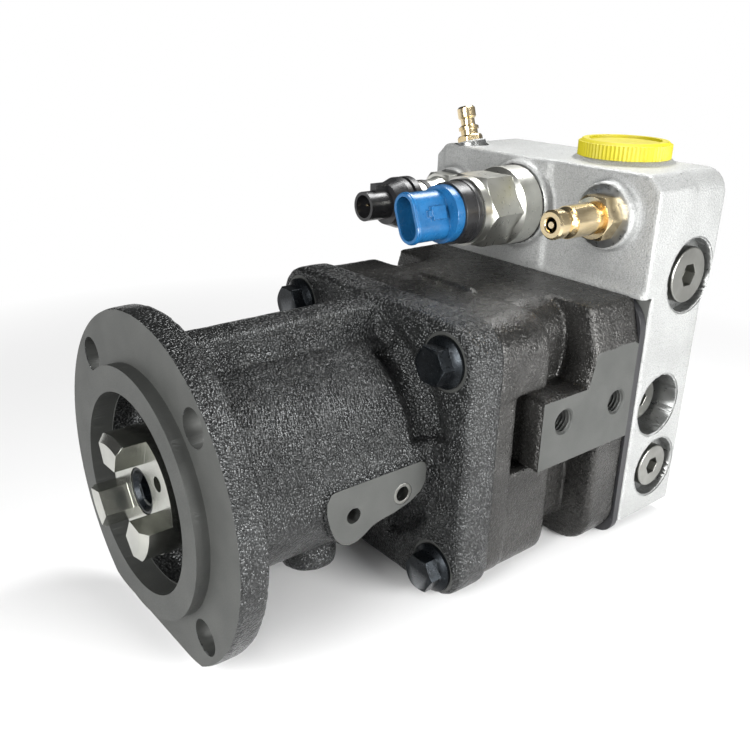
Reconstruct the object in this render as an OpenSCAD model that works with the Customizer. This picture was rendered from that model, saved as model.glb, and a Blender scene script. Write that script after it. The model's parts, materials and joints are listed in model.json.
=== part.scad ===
// Swash-plate axial piston pump with a dog-coupling drive housing.
// X runs along the shaft from the drive end to the end cover, Z is up.
// The origin is the centre of the mounting flange's face.

/* [Mounting flange] */
// Outer radius of the round mounting flange
flange_r = 70; // [66:1:76]
// Thickness of the mounting flange
flange_t = 11.4; // [10:0.2:14]
// Radius of the pilot
pilot_r = 50; // [48:0.5:52]
// Height of the pilot
pilot_h = 5.4; // [4:0.2:7]
// Radius of the bore through the pilot
mouth_r = 40; // [38:0.5:41]
// Pitch circle diameter of the flange holes
flange_pcd = 120; // [116:1:124]
// Radius of the flange holes
flange_hole_r = 7.25; // [6:0.25:8]
// Distance from the shaft to the flat at the bottom of the flange
flange_flat = 60; // [58:0.5:64]

/* [Drive housing] */
// Radius of the round tube
tube_r = 44; // [43:0.5:46]
// Height of the top rib above the shaft
rib_top = 58; // [54:1:60]
// Width of the top rib
rib_w = 14; // [10:1:18]
// Front face of the square flange
square_x = 107; // [105:0.5:108]
// Joint between the two housings
joint_x = 125; // [124:0.5:126]
// Distance of the bracket pad from the shaft
bracket_y = 46.5; // [46:0.5:49]

/* [Pump housing] */
// Half the distance between the bolts, across the pump
bolt_y = 50; // [49:0.5:51]
// Height of the upper bolts
bolt_z_top = 44.5; // [43:0.5:45]
// Height of the lower bolts
bolt_z_low = -51.5; // [-52:0.5:-50]
// Back face of the pump housing
housing_end = 211; // [210.5:0.1:211.5]
// Distance of the machined side pad from the shaft
pad_y = 69; // [68:0.5:70]
// Positions of the two tapped holes in the side pad
pad_hole_x = [162.5, 199.5];
// Height of the tapped holes in the side pad
pad_hole_z = 10.4; // [9:0.1:12]

/* [End cover] */
// Face of the end cover that meets the valve plate
cover_x = 215; // [214.5:0.1:215.5]
// Half width of the end cover
cover_y = 69.5; // [69:0.5:71]
// Front of the upper block
block_x = 210; // [209:0.5:210.5]
// Top of the upper block
block_top = 111; // [110:0.5:113]
// Centre of the top port
port_xy = [242, -26];

/* [Pressure sensor] */
// Position of the pressure sensor's axis across the pump
sensor_y = 7.7; // [7:0.1:9]
// Height of the pressure sensor's axis
sensor_z = 88.3; // [87:0.1:89]
// Turn of the oval connector about its axis
connector_turn = 21; // [0:1:40]

/* [Temperature sensor] */
// Position of the temperature sensor's axis across the pump
probe_y = 52; // [50:0.5:53]
// Height of the temperature sensor's axis
probe_z = 85.5; // [84:0.5:86]

/* [Test points] */
// Position of the front test point's axis across the pump
test_y = -45.5; // [-46:0.1:-44]
// Height of the front test point's axis
test_z = 91.3; // [90:0.1:92]
// Lean of the top test point towards the far side
test_lean = 17; // [8:1:20]

/* [Rotating group] */
// Number of pistons
pistons_n = 9; // [9:1:9]
// Pitch radius of the pistons
piston_pitch = 26; // [25.8:0.1:26.2]
// Radius of a piston
piston_r = 6.45; // [6.4:0.05:6.45]
// Swash plate's running face and its tilt axis
tilt_x = 150; // [150:1:150]
// Height of the bias plunger above the shaft, and of the control piston below it
control_z = 45.6; // [45.5:0.1:45.8]

/* [Hidden] */
$fn = 64;
gap = 0.05;
cut = 1;
housing_r = 46;
core_y = 51;
housing_top = 57;
housing_low = -66;
square_low = -64;
square_top = 60;
barrel_front = 172;
barrel_r = 37;
bearing_front = 40;
bearing_back = 57;
roller_n = 16;
needle_n = 18;
needle_pitch = 14.55;
screw_y = 56;
screw_z = [42, -49.5];
plug_high = [244, 63.5];
plug_low = [239.3, -35.2];
plug_deep = [234, 0];
drain_xy = [68, -10];
top_test_base = [218.5, 54, block_top + 1.5];
front_test_r = 6.4;
top_test_r = 4.7;
test_spring_end = 13;
nose_r = 5;
nose_x = tilt_x + nose_r + 0.1;
dog_angles = [88, -32, 208];

// ---------- shared shapes ----------

// Cylinder along X
module rod(x0, x1, r) {
    translate([x0, 0, 0]) rotate([0, 90, 0]) cylinder(h = x1 - x0, r = r);
}

// Cone along X
module taper(x0, x1, r0, r1) {
    translate([x0, 0, 0]) rotate([0, 90, 0]) cylinder(h = x1 - x0, r1 = r0, r2 = r1);
}

// Ring along X
module ring(x0, x1, r_in, r_out) {
    difference() {
        rod(x0, x1, r_out);
        rod(x0 - cut, x1 + cut, r_in);
    }
}

// Six-sided prism along X, measured across its flats
module hex_rod(x0, x1, flats) {
    translate([x0, 0, 0]) rotate([30, 0, 0]) rotate([0, 90, 0]) cylinder(h = x1 - x0, r = flats / sqrt(3), $fn = 6);
}

// A flat shape drawn in Y and Z, made solid from x0 to x1
module slab(x0, x1) {
    translate([x0, 0, 0]) rotate([90, 0, 90]) linear_extrude(x1 - x0) children();
}

// A flat shape drawn in X and Z, made solid from y0 to y1
module side_slab(y0, y1) {
    translate([0, y1, 0]) rotate([90, 0, 0]) linear_extrude(y1 - y0) children();
}

// Rectangle between two corners with round corners
module round_rect(low, high, r) {
    translate([low[0] + r, low[1]]) square([high[0] - low[0] - 2 * r, high[1] - low[1]]);
    translate([low[0], low[1] + r]) square([high[0] - low[0], high[1] - low[1] - 2 * r]);
    for (y = [low[0] + r, high[0] - r], z = [low[1] + r, high[1] - r]) translate([y, z]) circle(r);
}

// Box between two corners
module block(low, high) {
    translate(low) cube(high - low);
}

// Stands a shape drawn along +X upright on a point of the near side, pointing out towards -Y
module near_side(x, y, z) {
    translate([x, -y, z]) rotate([0, 0, -90]) children();
}

// Repeats a shape around the shaft
module around(n, r, start = 0) {
    for (i = [0 : n - 1]) rotate([start + i * 360 / n, 0, 0]) translate([0, r, 0]) children();
}

// O-ring around the X axis
module o_ring(x, r, wire) {
    translate([x, 0, 0]) rotate([0, 90, 0]) rotate_extrude() translate([r, 0]) circle(wire, $fn = 32);
}

// Points around one wire section of a coil that winds along Z
function coil_point(r, wire, rise, turn, side) =
    let (out = r + wire * cos(side))
    [out * cos(turn), out * sin(turn), rise * turn / 360 + wire * sin(side)];

// Helical spring that winds along X, between two planes
module coil(x0, x1, r, wire, turns) {
    steps = 18 * turns;
    sides = 6;
    rise = (x1 - x0 - 2 * wire) / turns;
    points = [for (i = [0 : steps], k = [0 : sides - 1])
        coil_point(r, wire, rise, i * 20, k * 360 / sides)];
    skin = [for (i = [0 : steps - 1], k = [0 : sides - 1])
        let (n = (k + 1) % sides)
        [i * sides + k, i * sides + n, (i + 1) * sides + n, (i + 1) * sides + k]];
    caps = [
        [for (k = [sides - 1 : -1 : 0]) k],
        [for (k = [0 : sides - 1]) steps * sides + k]
    ];
    translate([x0 + wire, 0, 0]) rotate([0, 90, 0]) polyhedron(points, concat(skin, caps));
}

// ---------- housings ----------

module bolt_places() {
    for (y = [-bolt_y, bolt_y], z = [bolt_z_low, bolt_z_top]) translate([0, y, z]) children();
}

module screw_places() {
    for (y = [-screw_y, screw_y], z = screw_z) translate([0, y, z]) children();
}

module mounting_flange() {
    flat_corner = 45;
    slab(0, flange_t) intersection() {
        circle(flange_r, $fn = 96);
        round_rect([-flange_r - 2, -flange_flat], [flange_r + 2, flange_r + 2 * flat_corner], flat_corner);
    }
    rod(-pilot_h, cut, pilot_r);
    taper(flange_t - cut, flange_t + 5, tube_r + 6, tube_r - cut);
}

module bracket_lug() {
    side_slab(-bracket_y, -20) polygon([
        [52, -3], [54, 0.5], [56, 1], [100, 1], [102.3, -0.5], [103, -3], [103, -9], [100.5, -13],
        [95, -16.2], [86.5, -18.5], [79, -19.5], [75, -20.5], [71, -23], [67, -25], [63, -25.3],
        [59.5, -23.8], [56, -20], [53.5, -14], [52, -8]
    ]);
}

module drive_housing() {
    pocket_r = 8;
    color("#4b4e51")
    difference() {
        union() {
            mounting_flange();
            rod(flange_t - cut, joint_x - cut, tube_r);
            block([flange_t - cut, -rib_w / 2, 30], [square_x + cut, rib_w / 2, rib_top]);
            slab(square_x, joint_x) round_rect([-65.5, square_low], [65.5, square_top], 15.5);
            bracket_lug();
            translate([drain_xy[0], drain_xy[1], -52]) cylinder(h = 20, r = 12);
        }
        // mouth, seal seat, bearing seat and the two retaining ring grooves
        rod(-pilot_h - cut, 14, mouth_r);
        rod(13, 26, 36);
        rod(25, bearing_front, 26);
        rod(27.9, 30, 27.7);
        rod(bearing_front - cut, 65, 31);
        rod(57, 59.2, 33);
        rod(64, square_x, 35);
        rod(square_x - cut, joint_x + cut, 19);
        around(4, flange_pcd / 2, 45) rod(-cut, flange_t + 8, flange_hole_r);
        bolt_places() rod(square_x - cut, joint_x + cut, 5.5);
        // cradle pocket for the swash plate, with room for the plate behind the face
        difference() {
            translate([tilt_x, -36.2, 0]) rotate([-90, 0, 0]) cylinder(h = 72.4, r = 29.5);
            block([100, -20.8, -40], [joint_x + 2, 20.8, 40]);
        }
        // recesses around the tube, where it meets the square flange
        for (recess = [[10, 60], [110, 60], [214, 36], [290, 36]])
            rotate([90 + recess[0], 0, 0]) translate([square_x - 3, 0, 0]) rotate([0, 90, 0])
                rotate_extrude(angle = recess[1]) translate([tube_r + 3, 0]) circle(pocket_r);
        // groove for the housing seal
        ring(joint_x - 1.8, joint_x + cut, 51.2, 54.8);
        // bracket holes
        near_side(65, bracket_y, -12.5) rod(-12, cut, 3.4);
        near_side(90.5, bracket_y, -11.2) rod(-3, cut, 4.8);
        near_side(90.5, bracket_y, -11.2) rod(-12, cut, 3.2);
        // drain hole
        translate([drain_xy[0], drain_xy[1], -53]) cylinder(h = 9, r = 6.5);
        translate([drain_xy[0], drain_xy[1], -46]) cylinder(h = 20, r = 3);
    }
}

module side_boss() {
    side_slab(-pad_y, -40) polygon([
        [148, -10], [housing_end, -10], [housing_end, 36.5], [181, 36.5], [177.5, 22], [148, 22]
    ]);
}

// Flange that meets the cover plate: steep facets at the top corners, round bottom corners
module rear_flange() {
    edge_y = 68.5;
    slab(180, housing_end) polygon([
        [-edge_y, 30], [edge_y, 30], [edge_y, 38], [edge_y - 5.5, housing_top],
        [-edge_y + 5.5, housing_top], [-edge_y, 38]
    ]);
    slab(191, housing_end) intersection() {
        round_rect([-edge_y + 1, housing_low], [edge_y - 1, housing_top], 16);
        translate([-edge_y, -70]) square([2 * edge_y, 101]);
    }
}

module pump_housing() {
    color("#46484b")
    difference() {
        union() {
            slab(joint_x, 137) round_rect([-63, -63], [63, 58], 14.5);
            slab(joint_x, 154) intersection() {
                round_rect([-64, -63], [64, 58], 15);
                translate([-70, 27]) square([140, 40]);
            }
            slab(joint_x, 167) intersection() {
                round_rect([-60.5, -63.5], [60.5, 58], 12);
                translate([-70, -70]) square([140, 58]);
            }
            slab(joint_x, housing_end) round_rect([-core_y, -61], [core_y, housing_top], 16);
            rear_flange();
            side_boss();
            block([152, -18.4, 55], [154.4, 16.2, 59.4]);
        }
        rod(joint_x - cut, housing_end + cut, housing_r);
        // room above and below the barrel for the bias plunger and the control piston
        block([joint_x - cut, -9, 0], [housing_end + cut, 9, 53.4]);
        block([joint_x - cut, -10, -55.2], [housing_end + cut, 10, 0]);
        bolt_places() rod(joint_x - cut, 150, 5 + gap);
        screw_places() rod(192.5, housing_end + cut, 4.98 + gap);
        for (x = pad_hole_x) near_side(x, pad_y, pad_hole_z) {
            rod(-18, cut, 5.1);
            taper(-1.1, 0.01, 5.1, 6.2);
        }
        near_side(207.5, pad_y, 30.5) rod(-0.8, cut, 0.9);
        near_side(202.5, pad_y, 29) rod(-0.8, cut, 0.9);
    }
}

module housing_seal() {
    color("#161616") o_ring(joint_x - 0.9, 53, 0.85);
}

module cover_plate() {
    color("#1d1e20")
    difference() {
        slab(housing_end, cover_x) {
            round_rect([-69, housing_low], [69, 20], 8.5);
            round_rect([-69, -20], [69, housing_top], 16);
        }
        rod(housing_end - cut, cover_x + cut, barrel_r + 0.6);
        block([housing_end - cut, -9, 0], [cover_x + cut, 9, 53.4]);
        block([housing_end - cut, -10, -55.2], [cover_x + cut, 10, 0]);
        screw_places() rod(housing_end - cut, cover_x + cut, 5.5);
    }
}

module cover_blank() {
    intersection() {
        side_slab(-cover_y, cover_y) polygon([
            [cover_x, -59], [257, -59], [257, 49], [264, 60], [264, block_top], [block_x, block_top],
            [block_x, 57], [cover_x, 57]
        ]);
        union() {
            slab(200, 238) polygon([
                [-cover_y, -60], [cover_y, -60], [cover_y, block_top - 6], [cover_y - 6.5, block_top],
                [-cover_y + 6.5, block_top], [-cover_y, block_top - 6]
            ]);
            slab(237, 262.5) round_rect([-cover_y, -80], [cover_y, block_top], 11);
            slab(262, 270) round_rect([-cover_y + 1.5, -80], [cover_y - 1.5, block_top - 1.5], 11);
        }
    }
}

module cover_bosses() {
    block([block_x - 1.5, -9, 61], [block_x + cut, 63, block_top - 1.2]);
    block([block_x - 1.2, -cover_y + 0.6, 57], [block_x + cut, cover_y - 0.6, 59.2]);
    translate([0, test_y, test_z]) rod(204, block_x + cut, 15);
    translate([0, sensor_y, sensor_z]) rod(205, block_x + cut, 20.5);
    translate([0, probe_y, probe_z]) rod(203, block_x + cut, 14.5);
    translate([port_xy[0], port_xy[1], block_top - cut]) cylinder(h = cut + 2, r = 22.8);
    intersection() {
        translate(top_test_base) rotate([-test_lean, 0, 0]) translate([0, 0, -12]) cylinder(h = 12, r = 8);
        block([block_x - 2, 40, 90], [240, cover_y, 120]);
    }
}

// Counterbore with a threaded bore behind it, cut into the near side
module plug_port(place, recess_r, depth, bore_r, bore_depth) {
    near_side(place[0], cover_y, place[1]) {
        rod(-depth, cut, recess_r);
        rod(-depth - bore_depth, -depth + cut, bore_r);
    }
}

// Kidney-shaped slot around the shaft, open along X
module kidney(x0, x1, middle, half_angle, half_width) {
    ends = [middle - half_angle, middle + half_angle];
    translate([x0, 0, 0]) rotate([90, 0, 90]) linear_extrude(x1 - x0) {
        intersection() {
            difference() {
                circle(piston_pitch + half_width);
                circle(piston_pitch - half_width);
            }
            polygon([[0, 0], for (i = [0 : 8])
                let (a = ends[0] + i * (ends[1] - ends[0]) / 8) 60 * [cos(a), sin(a)]]);
        }
        for (a = ends) translate(piston_pitch * [cos(a), sin(a)]) circle(half_width);
    }
}

module kidneys(x0, x1) {
    for (middle = [0, 180]) kidney(x0, x1, middle, 62, 4);
}

module end_cover() {
    color("#b9bcbf")
    difference() {
        union() {
            cover_blank();
            cover_bosses();
        }
        // rear bearing seat and shaft end
        rod(218, 235, 21);
        rod(cover_x - cut, 219, 14);
        rod(234, 241, 14);
        kidneys(cover_x - cut, cover_x + 9);
        // bias plunger guide and control sleeve seat
        translate([0, 0, control_z]) rod(cover_x - cut, 243, 4 + gap);
        translate([0, 0, -control_z]) rod(cover_x - cut, 226, 8.5);
        rotate([35, 0, 0]) translate([0, 0, 32.5]) rod(cover_x - cut, 220, 2);
        screw_places() {
            rod(cover_x - cut, 260, 5.5);
            rod(247, 260, 8.5);
        }
        plug_port(plug_high, 17.6, 6.2, 10.6, 18);
        plug_port(plug_low, 15.3, 6.2, 8.3, 12);
        plug_port(plug_deep, 15.5, 15, 8.3, 12);
        // top port
        translate([port_xy[0], port_xy[1], 86]) cylinder(h = 40, r = 15);
        translate([port_xy[0], port_xy[1], 16]) cylinder(h = 72, r = 10);
        translate([0, port_xy[1], 18]) rod(cover_x + 5, port_xy[0], 5);
        // suction port on the far side, with its spot face
        translate([236, 44, -8]) rotate([-90, 0, 0]) cylinder(h = 40, r = 19);
        translate([236, 28, -8]) rotate([-90, 0, 0]) cylinder(h = 20, r = 13);
        translate([236, cover_y - 1, -8]) rotate([-90, 0, 0]) cylinder(h = 4, r = 27);
        // sensor and test point bores
        translate([0, sensor_y, sensor_z]) rod(200, 228, 9);
        translate([0, probe_y, probe_z]) rod(200, 222, 6);
        translate([0, test_y, test_z]) rod(200, 222, 6);
        translate(top_test_base) rotate([-test_lean, 0, 0]) {
            translate([0, 0, -14]) cylinder(h = 20, r = 4);
            cylinder(h = 10, r = 8.5);
        }
    }
}

// Hex bolt with a washer face, its head towards -X and its seat at x = 0
module flange_bolt(length) {
    intersection() {
        hex_rod(-9.2, -1, 15);
        union() {
            rod(-8.4, cut, 9);
            taper(-9.2, -8.4, 7.4, 8.9);
        }
    }
    rod(-1.6, 0, 11);
    taper(-3.4, -1.6, 8, 11);
    rod(-cut, length, 5);
}

module housing_bolts() {
    color("#23272b") bolt_places() translate([square_x, 0, 0]) flange_bolt(40);
}

// Socket screw with its head towards +X and its seat at x = 0
module socket_screw(length, head_r, shank_r, key) {
    difference() {
        union() {
            rod(0, head_r * 1.15, head_r);
            rod(-length, cut, shank_r);
        }
        hex_rod(head_r * 0.5, head_r * 2, key);
    }
}

module cover_screws() {
    color("#2b2e31") screw_places() translate([247, 0, 0]) socket_screw(53, 8, 4.98, 8);
}

module bracket_sleeve() {
    color("#b8babd") near_side(90.5, bracket_y, -11.2) ring(-2.9, 0, 3.2, 4.75);
}

// Hex socket plug with a flange, its face at x = 0 and pointing to +X
module socket_plug(flange, thread, key, thread_l) {
    difference() {
        union() {
            rod(-4.2, -0.5, flange);
            taper(-0.5, 0, flange, flange - 0.5);
            rod(-thread_l - 4.2, -4, thread);
        }
        hex_rod(-5.5, cut, key);
    }
}

module drain_plug() {
    color("#8f9396") translate([drain_xy[0], drain_xy[1], -51.5]) rotate([0, 90, 0]) difference() {
        rod(-6.6, 0, 6.45);
        hex_rod(-4, cut, 5);
    }
}

module upper_plug() {
    color("#a4a8ab") near_side(plug_high[0], cover_y - 0.7, plug_high[1]) socket_plug(13.4, 10.55, 10, 12);
}

module lower_plug() {
    color("#a4a8ab") near_side(plug_low[0], cover_y - 0.7, plug_low[1]) socket_plug(11, 8.25, 8, 9);
}

module deep_plug() {
    color("#a4a8ab") near_side(plug_deep[0], cover_y - 9.5, plug_deep[1]) socket_plug(11, 8.25, 8, 9);
}

// Square-section seal ring under a plug's flange
module plug_seal(place, back, r_in, r_out) {
    near_side(place[0], cover_y - back, place[1]) ring(-1.2, 0, r_in, r_out);
}

module plug_seals() {
    color("#1a1a1a") {
        plug_seal(plug_high, 4.95, 10.7, 13);
        plug_seal(plug_low, 4.95, 8.4, 10.6);
        plug_seal(plug_deep, 13.75, 8.4, 10.6);
    }
}

// ---------- drive line ----------

module coupling_dog() {
    inner = 14.3;
    outer = 29;
    half = 20;
    slab(-13.4, 0) polygon([
        inner * [cos(half), -sin(half)], outer * [1, -tan(half)], outer * [1, tan(half)],
        inner * [cos(half), sin(half)]
    ]);
}

module drive_coupling() {
    face = -1.9;
    color("#9c9b93")
    difference() {
        union() {
            rod(face, 27, 25.4);
            intersection() {
                for (a = dog_angles) rotate([a, 0, 0]) coupling_dog();
                union() {
                    rod(-11, 0, 25.4);
                    taper(-13.5, -11, 22.2, 25.4);
                }
            }
        }
        rod(face - cut, 7, 9.4);
        rod(6, 10, 6.1);
        rod(9, 28, 13 + gap / 2);
        rotate([147, 0, 0]) translate([0, 17.7, 0]) rod(face - cut, 12, 3);
    }
}

module coupling_screw() {
    color("#3a3c3e") difference() {
        union() {
            rod(-1.6, 6.9, 9.1);
            rod(6, 30, 6);
        }
        taper(-1.7, 0.2, 8.2, 6.6);
        hex_rod(-0.5, 4, 10);
    }
}

module drive_shaft() {
    color("#a9adb0")
    difference() {
        union() {
            rod(9.1, 27.1, 13);
            rod(27, tilt_x, 15);
            rod(tilt_x - cut, 212, 14);
            rod(211, 237, 12.5);
            taper(237, 238, 12.5, 11.5);
        }
        rod(8, 31, 6 + gap / 2);
        // spline grooves under the cylinder barrel
        around(16, 14.4) rod(158, 211, 0.9);
    }
}

module shaft_seal() {
    color("#6b3b22") difference() {
        rod(30.1, 38, 25.97);
        rod(29, 39, 15 + gap);
        ring(29, 35.5, 17.5, 23.5);
    }
}

// Retaining ring with open ends
module open_ring(x0, x1, r_in, r_out) {
    difference() {
        ring(x0, x1, r_in, r_out);
        block([x0 - cut, 0, -4], [x1 + cut, r_out + cut, 4]);
    }
}

module seal_ring() {
    color("#7d8184") open_ring(28, 29.9, 22.5, 27.6);
}

module bearing_outer() {
    color("#a9adb0") ring(bearing_front + gap, bearing_back - gap, 27, 30.98);
}

module bearing_inner() {
    color("#a9adb0") ring(bearing_front + gap, bearing_back - gap, 15.02, 20);
}

module bearing_rollers() {
    color("#c3c6c8") around(roller_n, 23.5) rod(42, 55, 3.45);
}

module bearing_cage() {
    color("#a9853f") difference() {
        ring(40.6, 56.4, 21.6, 25.4);
        around(roller_n, 23.5) rod(42 - gap, 55 + gap, 3.45 + gap);
    }
}

module bearing_circlip() {
    color("#7d8184") open_ring(57.1, 59.1, 27.8, 32.95);
}

module rear_bearing_ring() {
    color("#a9adb0") ring(218.1, 234.9, needle_pitch + 2 + gap, 20.98);
}

module rear_needles() {
    color("#c3c6c8") around(needle_n, needle_pitch) rod(220, 233, 2);
}

module rear_cage() {
    color("#a9853f") difference() {
        ring(219, 234, 13.4, 15.7);
        around(needle_n, needle_pitch) rod(220 - gap, 233 + gap, 2 + gap);
    }
}

// ---------- pumping group ----------

module cylinder_barrel() {
    color("#8d9194")
    difference() {
        rod(barrel_front, 210.95, barrel_r);
        rod(barrel_front - cut, 196, 17.6);
        rod(195, 212, 14 + gap / 2);
        around(pistons_n, piston_pitch) {
            rod(barrel_front - cut, 205, piston_r + gap);
            rod(204, 212, 3.9);
        }
    }
}

module barrel_spring() {
    color("#6f7376") coil(171.2, 194.9, 15.9, 0.9, 5);
}

// Half a disc in the turning plane, for a ball centred on the axis
module half_disc(x, r) {
    intersection() {
        translate([0, x]) circle(r, $fn = 48);
        translate([0, x - r - cut]) square([r + cut, 2 * r + 2 * cut]);
    }
}

module pistons() {
    ball_x = 156.5;
    neck = 3.3;
    color("#b4b8bb") around(pistons_n, piston_pitch) rotate([0, 90, 0]) rotate_extrude() {
        half_disc(ball_x, 5);
        polygon([
            [0, ball_x], [neck, ball_x], [neck, 162], [piston_r, 164], [piston_r, 193], [3.6, 193],
            [3.6, 180], [0, 180]
        ]);
    }
}

module slippers() {
    face = tilt_x + gap;
    ball_x = 156.5;
    color("#b08d57") around(pistons_n, piston_pitch) rotate([0, 90, 0]) rotate_extrude() difference() {
        polygon([
            [0.8, 151], [3.5, 151], [3.5, face], [8, face], [8, 152.4], [6.3, 152.4], [6.3, 159.6],
            [4.7, 159.6], [4.7, ball_x], [0.8, ball_x]
        ]);
        translate([0, ball_x]) circle(5.03);
    }
}

module retainer_plate() {
    ball_x = 159;
    color("#9ea2a5") difference() {
        rod(152.45, 154.9, 37.8);
        around(pistons_n, piston_pitch) rod(151, 156, 6.5);
        translate([ball_x, 0, 0]) sphere(17.05, $fn = 96);
    }
}

module retainer_ball() {
    ball_x = 159;
    color("#a9adb0") difference() {
        union() {
            intersection() {
                translate([ball_x, 0, 0]) sphere(17, $fn = 96);
                rod(152, ball_x + gap, 18);
            }
            rod(ball_x, 171, 17);
        }
        rod(150, 172, 14 + gap);
    }
}

module valve_plate() {
    color("#b08d57") difference() {
        rod(housing_end + gap, cover_x, barrel_r);
        rod(housing_end - cut, cover_x + cut, 14.5);
        kidneys(housing_end - cut, cover_x + cut);
        rotate([35, 0, 0]) translate([0, 0, 32.5]) rod(housing_end - cut, cover_x + cut, 2.02);
    }
}

module valve_plate_pin() {
    color("#a9adb0") rotate([35, 0, 0]) translate([0, 0, 32.5]) rod(housing_end + 0.3, 219.5, 1.98);
}

module swash_plate() {
    back = tilt_x - 13;
    cheek_r = 27;
    color("#8a8e91")
    difference() {
        union() {
            rod(back, tilt_x, 44);
            block([tilt_x - 9, -7.5, -51], [tilt_x, 7.5, 51]);
            for (side = [-1, 1]) intersection() {
                translate([tilt_x, side * 28.4 - 7.4, 0]) rotate([-90, 0, 0]) cylinder(h = 14.8, r = cheek_r);
                block([120, -40, -30], [back + cut, 40, 30]);
            }
        }
        rod(110, tilt_x + cut, 23.5);
    }
}

module cradle_bearings() {
    color("#b08d57") for (side = [-1, 1]) intersection() {
        translate([tilt_x, side * 28.5 - 7.4, 0]) rotate([-90, 0, 0]) difference() {
            cylinder(h = 14.8, r = 29.48);
            translate([0, 0, -cut]) cylinder(h = 14.8 + 2 * cut, r = 27 + gap);
        }
        block([115, -40, -17], [130, 40, 17]);
    }
}

module bias_plunger() {
    color("#a9adb0") translate([0, 0, control_z]) rotate([0, 90, 0]) rotate_extrude() {
        half_disc(nose_x, nose_r);
        polygon([[0, nose_x], [4, nose_x], [4, 161], [7, 161], [7, 165], [4, 165], [4, 228], [0, 228]]);
    }
}

module bias_spring() {
    color("#6f7376") translate([0, 0, control_z]) coil(165.1, 214.9, 5.7, 1, 8);
}

module control_piston() {
    color("#a9adb0") translate([0, 0, -control_z]) rotate([0, 90, 0]) rotate_extrude() {
        half_disc(nose_x, nose_r);
        polygon([[0, nose_x], [4, nose_x], [4, 165], [6.95, 165], [6.95, 212], [0, 212]]);
    }
}

module control_sleeve() {
    color("#77797b") translate([0, 0, -control_z]) difference() {
        rod(182, 225.5, 8.45);
        rod(181, 222, 7);
    }
}

// ---------- sensors ----------

module sensor_body() {
    color("#c2c2b8") translate([0, sensor_y, sensor_z]) {
        intersection() {
            hex_rod(173, 191, 32);
            union() {
                taper(173, 174.5, 16.2, 18.6);
                rod(174.4, 191, 18.6);
            }
        }
        difference() {
            union() {
                taper(190, 192.5, 15.5, 18.8);
                rod(192.4, 204, 18.8);
            }
            ring(202, 205, 12.6, 16.4);
        }
        ring(168.4, 173.1, 10, 16);
        rod(166.5, 173, 12);
        rod(203, 224, 8.95);
    }
}

module sensor_seal() {
    color("#161616") translate([0, sensor_y, sensor_z]) ring(202.1, 204.95, 12.7, 16.3);
}

module sensor_ring() {
    color("#1c1d1e") translate([0, sensor_y, sensor_z]) difference() {
        union() {
            rod(158.2, 166.4, 14.4);
            rod(165.5, 168.3, 14.9);
        }
        rod(166.5, 169, 12.05);
        rod(157, 161, 11);
    }
}

// Oval outline of the connector, its long axis along Z
module connector_oval(half_l, r) {
    square([2 * r, 2 * (half_l - r)], center = true);
    for (side = [-1, 1]) translate([0, side * (half_l - r)]) circle(r);
}

module sensor_connector() {
    color("#1f62c4") translate([0, sensor_y, sensor_z]) rotate([-connector_turn, 0, 0]) difference() {
        union() {
            rod(158.1, 160.9, 10.9);
            rod(153.6, 158.15, 13.3);
            slab(134, 154) connector_oval(11.4, 6.6);
            slab(134.9, 136.4) connector_oval(11.9, 7.1);
            block([143, -8.6, -3], [151, -5, 3]);
            block([141, -8.1, -1.4], [144, -5, 1.4]);
        }
        slab(133, 149) connector_oval(9.9, 5.1);
    }
}

module sensor_pins() {
    color("#c9a24a") translate([0, sensor_y, sensor_z]) rotate([-connector_turn, 0, 0])
        for (z = [-5.6, 0, 5.6]) block([140, -0.4, z - 1.2], [149, 0.4, z + 1.2]);
}

module probe_body() {
    color("#b9b8ae") translate([0, probe_y, probe_z]) {
        intersection() {
            hex_rod(194.5, 203, 24);
            union() {
                rod(195.5, 203, 13.9);
                taper(194.5, 195.5, 12.4, 13.9);
            }
        }
        taper(190, 194.6, 9.6, 10.8);
        rod(184.5, 190.1, 9.6);
        rod(180.5, 184.6, 8.2);
        rod(174.2, 180.6, 9.6);
        rod(202, 220, 5.95);
    }
}

module probe_ring() {
    color("#161616") translate([0, probe_y, probe_z]) ring(181, 184.2, 8.25, 9.9);
}

module probe_connector() {
    color("#191a1b") translate([0, probe_y, probe_z]) difference() {
        union() {
            rod(170.5, 174.1, 12.6);
            rod(168.2, 170.6, 11.4);
            rod(165.4, 168.3, 12.6);
            taper(158.5, 165.5, 10.2, 12.6);
            rod(145, 159, 7.2);
            block([151, -2.4, 5], [162, 2.4, 10.4]);
        }
        rod(144, 156, 5.6);
    }
}

module probe_pins() {
    color("#c9a24a") translate([0, probe_y, probe_z]) for (y = [-2.2, 2.2]) translate([0, y, 0]) rod(149, 156, 0.7);
}

// Brass coupling nipple along X, its mouth at x = 0 and its hex seat at the length
module test_nipple(length, hex_l, flats, r, thread_r, thread_l) {
    neck = r * 0.78;
    seat = length - hex_l;
    difference() {
        union() {
            taper(0, 1, r - 0.9, r);
            rod(0.99, 5.5, r);
            taper(5.49, 6.5, r, neck);
            rod(6.4, 9.6, neck);
            taper(9.5, 10.5, neck, r * 1.12);
            rod(10.4, seat - 3, r * 1.12);
            rod(seat - 3.1, seat, r * 0.95);
            intersection() {
                hex_rod(seat - 0.1, length, flats);
                union() {
                    taper(seat - 0.1, seat + 1, flats * 0.49, flats * 0.56);
                    rod(seat + 0.9, length, flats * 0.56);
                }
            }
            rod(length - cut, length + thread_l, thread_r);
        }
        rod(-cut, test_spring_end + gap, r * 0.42);
        rod(test_spring_end, length + thread_l + cut, r * 0.26);
        taper(-0.01, 1.5, r * 0.56, r * 0.42);
    }
}

// Sprung valve pin in a nipple's mouth
module test_poppet(r) {
    rod(0.4, 9, r * 0.24);
    rod(2.4, 5, r * 0.42 - gap);
}

// Spring behind a valve pin
module test_spring(r) {
    coil(5 + gap, test_spring_end, r * 0.33, r * 0.055, 5);
}

module front_test_place() {
    translate([168.5, test_y, test_z]) children();
}

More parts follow.
